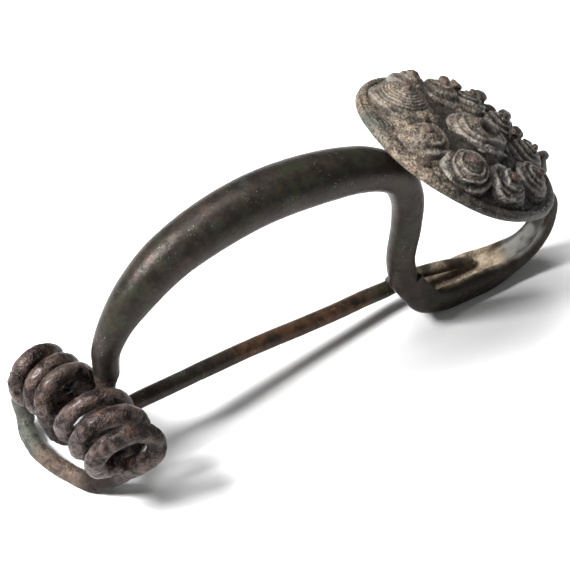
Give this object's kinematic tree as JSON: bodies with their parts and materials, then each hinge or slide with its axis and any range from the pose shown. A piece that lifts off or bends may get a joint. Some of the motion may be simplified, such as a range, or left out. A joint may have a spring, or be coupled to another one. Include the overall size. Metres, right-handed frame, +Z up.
{
  "type": "fibula brooch",
  "caption": "Safety-pin brooch of thick bronze wire: coiled spring, arched bow, straight pin in a troughed foot, and a round disc of ringed bosses on the foot's end.",
  "frame": {"origin": "under the middle of the brooch, on the surface it stands on with its chord and foot down", "axes": "+X from the spring to the foot, +Y along the spring's axis toward the half of the spring that the bow grows from, +Z up"},
  "size_m": [0.0864, 0.0318, 0.0405],
  "materials": {
    "dark_bronze": "worn dark patina, semi-gloss",
    "pin_bronze": "worn dark patina, semi-gloss",
    "crusted_bronze": "rough patina with earth crust"
  },
  "bodies": {
    "brooch": {"bow_spring_and_foot": "dark_bronze", "boss_disc": "crusted_bronze"},
    "pin": {"pin": "pin_bronze"}
  },
  "joints": [
    {"name": "pin_spring", "type": "hinge", "parent": "brooch", "child": "pin", "pos_m": [-0.03645, 0.00005, 0.0124], "axis": [0, -1, 0], "range_deg": [0, 12], "stiffness_Nm_per_rad": 0.3, "springref_deg": -5.73}
  ]
}
